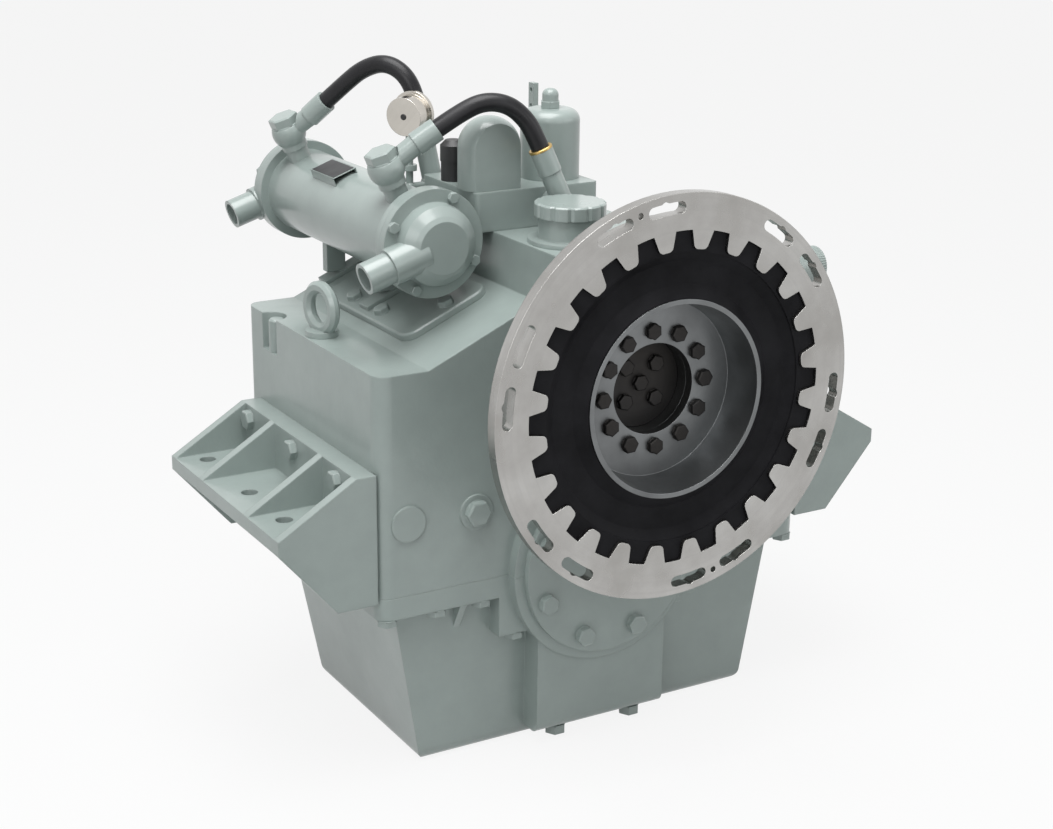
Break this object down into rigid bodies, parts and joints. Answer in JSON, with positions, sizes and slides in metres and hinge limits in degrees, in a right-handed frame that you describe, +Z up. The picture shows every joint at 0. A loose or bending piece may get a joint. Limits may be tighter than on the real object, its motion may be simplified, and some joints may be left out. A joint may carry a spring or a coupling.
{
  "type": "marine gearbox",
  "caption": "Marine reversing and reduction gearbox with a toothed flywheel coupling ring, split cast case, side brackets, oil cooler with hoses, filter, valve block and propeller flange",
  "frame": {"origin": "where the input shaft's axis meets the front face of the flywheel coupling ring", "axes": "X to the right when looking at the ring, Y along the shafts from the ring to the propeller flange, Z up"},
  "size_m": [0.924, 0.714, 0.8905],
  "materials": {
    "enamel": "gloss enamel over cast iron",
    "ring_aluminium": "machined",
    "rubber": "moulded",
    "dark_steel": "oiled",
    "steel": "ground",
    "iron": "bare",
    "chrome": "polished",
    "black_plastic": "moulded",
    "paper": "pleated",
    "copper": "drawn"
  },
  "bodies": {
    "case": {"upper_case": "enamel", "lower_case": "enamel", "left_bracket": "enamel", "right_bracket": "enamel", "bracket_bolts": "enamel", "split_bolts": "enamel", "input_bearing_cover": "enamel", "output_front_cover": "enamel", "output_rear_housing": "enamel", "shaft_seals": "rubber", "shaft_bearings": "steel", "pump_body": "enamel", "reverse_cover": "enamel", "inspection_cover": "enamel", "cover_bolts": "enamel", "lifting_eyes": "enamel", "filler_neck": "enamel", "valve_block": "enamel", "valve_dome": "enamel", "filter_canister": "enamel", "filter_nut": "enamel", "filter_element": "paper", "cooler_shell": "enamel", "cooler_caps": "enamel", "cooler_bundle": "copper", "cooler_mounts": "enamel", "hose_front": "rubber", "hose_rear": "rubber", "unions": "enamel", "cooler_bolts": "enamel", "hose_elbows": "enamel", "gauge_case": "chrome", "gauge_pipe": "enamel", "pressure_switch": "black_plastic", "corner_bolt": "enamel"},
    "input": {"coupling_ring": "ring_aluminium", "coupling_rubber": "rubber", "coupling_hub": "dark_steel", "coupling_flange": "dark_steel", "shaft_end_plate": "dark_steel", "coupling_bolts": "dark_steel", "input_shaft": "steel", "ahead_drum": "steel", "pump_drive_gear": "steel"},
    "reverse": {"reverse_shaft": "steel", "astern_drum": "steel"},
    "ahead_piston": {"ahead_piston": "steel"},
    "astern_piston": {"astern_piston": "steel"},
    "ahead_pinion": {"ahead_pinion": "steel"},
    "astern_pinion": {"astern_pinion": "steel"},
    "output": {"output_gear": "steel", "output_shaft": "steel", "output_flange": "steel"},
    "pump_idler": {"pump_idler_gear": "steel"},
    "lever": {"control_lever": "enamel"},
    "cap": {"filler_cap": "enamel"},
    "basket": {"filler_basket": "steel"},
    "strainer": {"strainer_element": "steel"},
    "strainer_knob": {"strainer_cap": "enamel"},
    "needle": {"gauge_needle": "black_plastic"}
  },
  "joints": [
    {"name": "input_spin", "type": "hinge", "parent": "case", "child": "input", "pos_m": [0, 0, 0], "axis": [0, 1, 0], "continuous": true},
    {"name": "reverse_spin", "type": "hinge", "parent": "case", "child": "reverse", "pos_m": [-0.1971, 0, -0.08836], "axis": [0, 1, 0], "continuous": true},
    {"name": "ahead_piston_slide", "type": "slide", "parent": "input", "child": "ahead_piston", "axis": [0, 1, 0], "range_m": [0, 0.003]},
    {"name": "astern_piston_slide", "type": "slide", "parent": "reverse", "child": "astern_piston", "axis": [0, 1, 0], "range_m": [0, 0.003]},
    {"name": "output_spin", "type": "hinge", "parent": "case", "child": "output", "pos_m": [0, 0, -0.264], "axis": [0, 1, 0], "continuous": true},
    {"name": "ahead_pinion_spin", "type": "hinge", "parent": "case", "child": "ahead_pinion", "pos_m": [0, 0, 0], "axis": [0, 1, 0], "continuous": true},
    {"name": "astern_pinion_spin", "type": "hinge", "parent": "case", "child": "astern_pinion", "pos_m": [-0.1971, 0, -0.08836], "axis": [0, 1, 0], "continuous": true},
    {"name": "pump_idler_spin", "type": "hinge", "parent": "case", "child": "pump_idler", "pos_m": [0, 0, -0.052], "axis": [0, 1, 0], "continuous": true},
    {"name": "lever_swing", "type": "hinge", "parent": "case", "child": "lever", "pos_m": [0.062, 0.465, 0.196], "axis": [1, 0, 0], "range_deg": [-30, 30]},
    {"name": "filler_cap_lift", "type": "slide", "parent": "case", "child": "cap", "axis": [0, 0, 1], "range_m": [0, 0.18]},
    {"name": "basket_lift", "type": "slide", "parent": "case", "child": "basket", "axis": [0, 0, 1], "range_m": [0, 0.09]},
    {"name": "strainer_pull", "type": "slide", "parent": "case", "child": "strainer", "axis": [1, 0, 0], "range_m": [0, 0.16]},
    {"name": "strainer_knob_turn", "type": "hinge", "parent": "strainer", "child": "strainer_knob", "pos_m": [0.335, 0.192, 0.09], "axis": [1, 0, 0], "continuous": true},
    {"name": "needle_sweep", "type": "hinge", "parent": "case", "child": "needle", "pos_m": [-0.14, 0.449, 0.297], "axis": [0.8362, 0.5426, 0.0796], "range_deg": [-270, 0]}
  ],
  "couplings": [
    {"joint": "reverse_spin", "follows": "input_spin", "ratio": -1},
    {"joint": "pump_idler_spin", "follows": "input_spin", "ratio": -1},
    {"joint": "ahead_pinion_spin", "follows": "output_spin", "ratio": -2.8824},
    {"joint": "astern_pinion_spin", "follows": "output_spin", "ratio": -2.8824},
    {"joint": "basket_lift", "follows": "filler_cap_lift", "ratio": 0.5}
  ]
}
